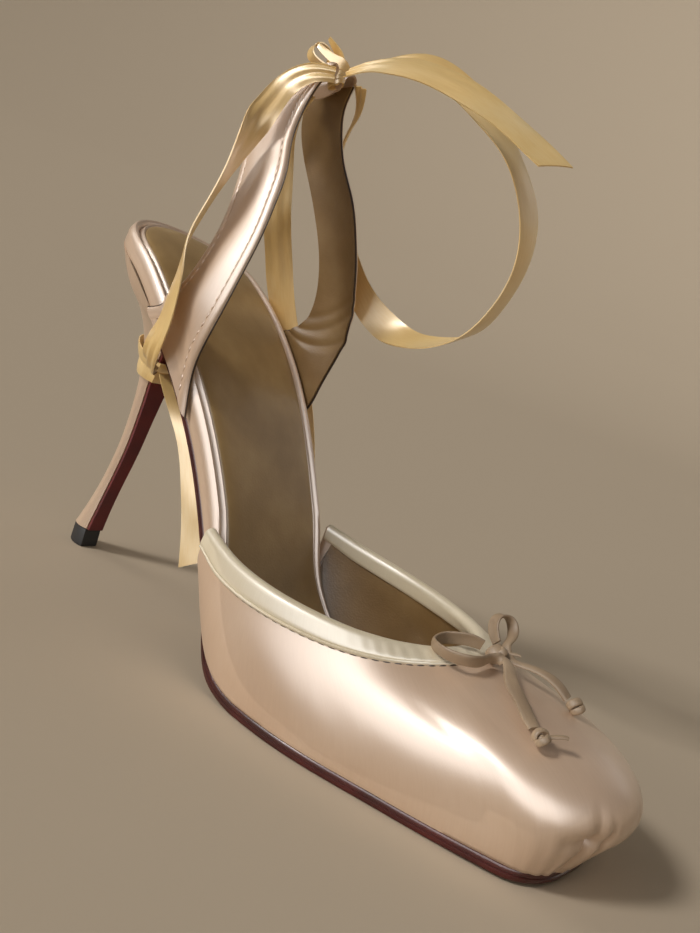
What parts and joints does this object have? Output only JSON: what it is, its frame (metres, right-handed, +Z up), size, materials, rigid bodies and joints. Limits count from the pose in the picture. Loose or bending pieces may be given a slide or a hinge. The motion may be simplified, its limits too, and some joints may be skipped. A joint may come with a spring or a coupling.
{
  "type": "high-heel sandal",
  "caption": "Right ballet-toe stiletto sandal: closed satin toe, open sides and heel, two ankle tabs tied with a long ribbon, small bow.",
  "frame": {"origin": "middle of the flat tread under the ball of the foot, on the floor", "axes": "+X along the foot towards the toe, +Y towards the inner side of the foot, +Z up"},
  "size_m": [0.2049, 0.071, 0.1731],
  "materials": {
    "satin": "peach silk satin, strong soft sheen",
    "sole_leather": "oxblood painted leather, semi-gloss",
    "sock_leather": "taupe lining leather, matt",
    "heel_rubber": "hard black rubber",
    "ribbon": "golden satin ribbon, soft sheen",
    "bow_leather": "taupe leather lace, matt"
  },
  "bodies": {
    "root": {"outsole": "sole_leather", "footbed": "satin", "sock_lining": "sock_leather", "vamp": "satin", "heel": "satin", "heel_breast_cover": "sole_leather", "top_piece": "heel_rubber", "ankle_tab_outer": "satin", "ankle_tab_inner": "satin", "ribbon_knot": "ribbon", "ribbon_loop": "ribbon", "ribbon_short_end": "ribbon", "ribbon_outer": "ribbon", "ribbon_heel_wrap": "ribbon", "ribbon_inner": "ribbon", "ribbon_tail": "ribbon", "bow_knot": "bow_leather", "bow_loop_outer": "bow_leather", "bow_loop_inner": "bow_leather", "bow_end_outer": "bow_leather", "bow_end_outer_knot": "bow_leather", "bow_end_inner": "bow_leather", "bow_end_inner_knot": "bow_leather"}
  },
  "joints": []
}
